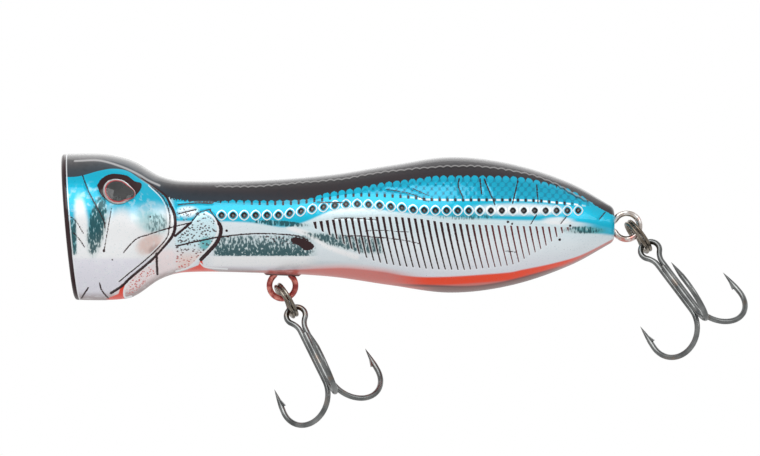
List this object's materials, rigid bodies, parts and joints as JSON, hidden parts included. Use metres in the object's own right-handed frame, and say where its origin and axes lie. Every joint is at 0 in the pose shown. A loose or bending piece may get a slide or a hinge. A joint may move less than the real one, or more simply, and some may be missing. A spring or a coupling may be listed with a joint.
{
  "type": "topwater popper",
  "caption": "Topwater popper lure with a cupped mouth, a hollow two-shell body on a through wire, swinging treble hooks on split rings, and rattle balls.",
  "frame": {"origin": "centre of the line-tie loop inside the cupped mouth", "axes": "+X from the nose to the tail along the body, +Z the back of the lure, -Y its left side"},
  "size_m": [0.1487, 0.0385, 0.0594],
  "materials": {
    "painted_shell": "clear-coated, with a baitfish pattern",
    "through_wire": "stainless wire, red lacquer on the belly loop",
    "eye_print": "printed foil, black pupil",
    "eye_dome": "clear resin dome",
    "split_ring": "dark bronze, polished",
    "hook_wire": "black nickel",
    "steel_ball": "polished",
    "ballast": "dull grey metal"
  },
  "bodies": {
    "lure_body": {"shell_left": "painted_shell", "shell_right": "painted_shell", "through_wire": "through_wire", "eye_print_left": "eye_print", "eye_print_right": "eye_print", "eye_dome_left": "eye_dome", "eye_dome_right": "eye_dome", "keel_weight": "ballast", "tail_weight_upper": "ballast", "tail_weight_lower": "ballast"},
    "belly_ring": {"belly_split_ring": "split_ring"},
    "belly_hook": {"belly_treble_double_hook": "hook_wire", "belly_treble_single_hook": "hook_wire"},
    "tail_ring": {"tail_split_ring": "split_ring"},
    "tail_hook": {"tail_treble_double_hook": "hook_wire", "tail_treble_single_hook": "hook_wire"},
    "rattle_front": {"rattle_ball_front": "steel_ball"},
    "rattle_middle": {"rattle_ball_middle": "steel_ball"},
    "rattle_rear": {"rattle_ball_rear": "steel_ball"}
  },
  "joints": [
    {"name": "belly_ring_swing", "type": "hinge", "parent": "lure_body", "child": "belly_ring", "pos_m": [0.04242, 0, -0.0157], "axis": [0.9829, 0, 0.184], "range_deg": [-40, 85]},
    {"name": "belly_hook_swing", "type": "hinge", "parent": "belly_ring", "child": "belly_hook", "pos_m": [0.04465, -0.00199, -0.019], "axis": [0.1167, 0.8839, -0.4528], "range_deg": [-25, 75]},
    {"name": "tail_ring_swing", "type": "hinge", "parent": "lure_body", "child": "tail_ring", "pos_m": [0.11886, 0, -0.00183], "axis": [0.6481, 0, 0.7615], "range_deg": [-40, 85]},
    {"name": "tail_hook_swing", "type": "hinge", "parent": "tail_ring", "child": "tail_hook", "pos_m": [0.12143, -0.00199, -0.00487], "axis": [0.1657, 0.8839, -0.4373], "range_deg": [-90, 50]},
    {"name": "rattle_front_roll", "type": "slide", "parent": "lure_body", "child": "rattle_front", "axis": [1, 0, 0], "range_m": [-0.0092, 0]},
    {"name": "rattle_middle_roll", "type": "slide", "parent": "lure_body", "child": "rattle_middle", "axis": [1, 0, 0], "range_m": [-0.0082, 0]},
    {"name": "rattle_rear_roll", "type": "slide", "parent": "lure_body", "child": "rattle_rear", "axis": [1, 0, 0], "range_m": [-0.0082, 0]}
  ]
}
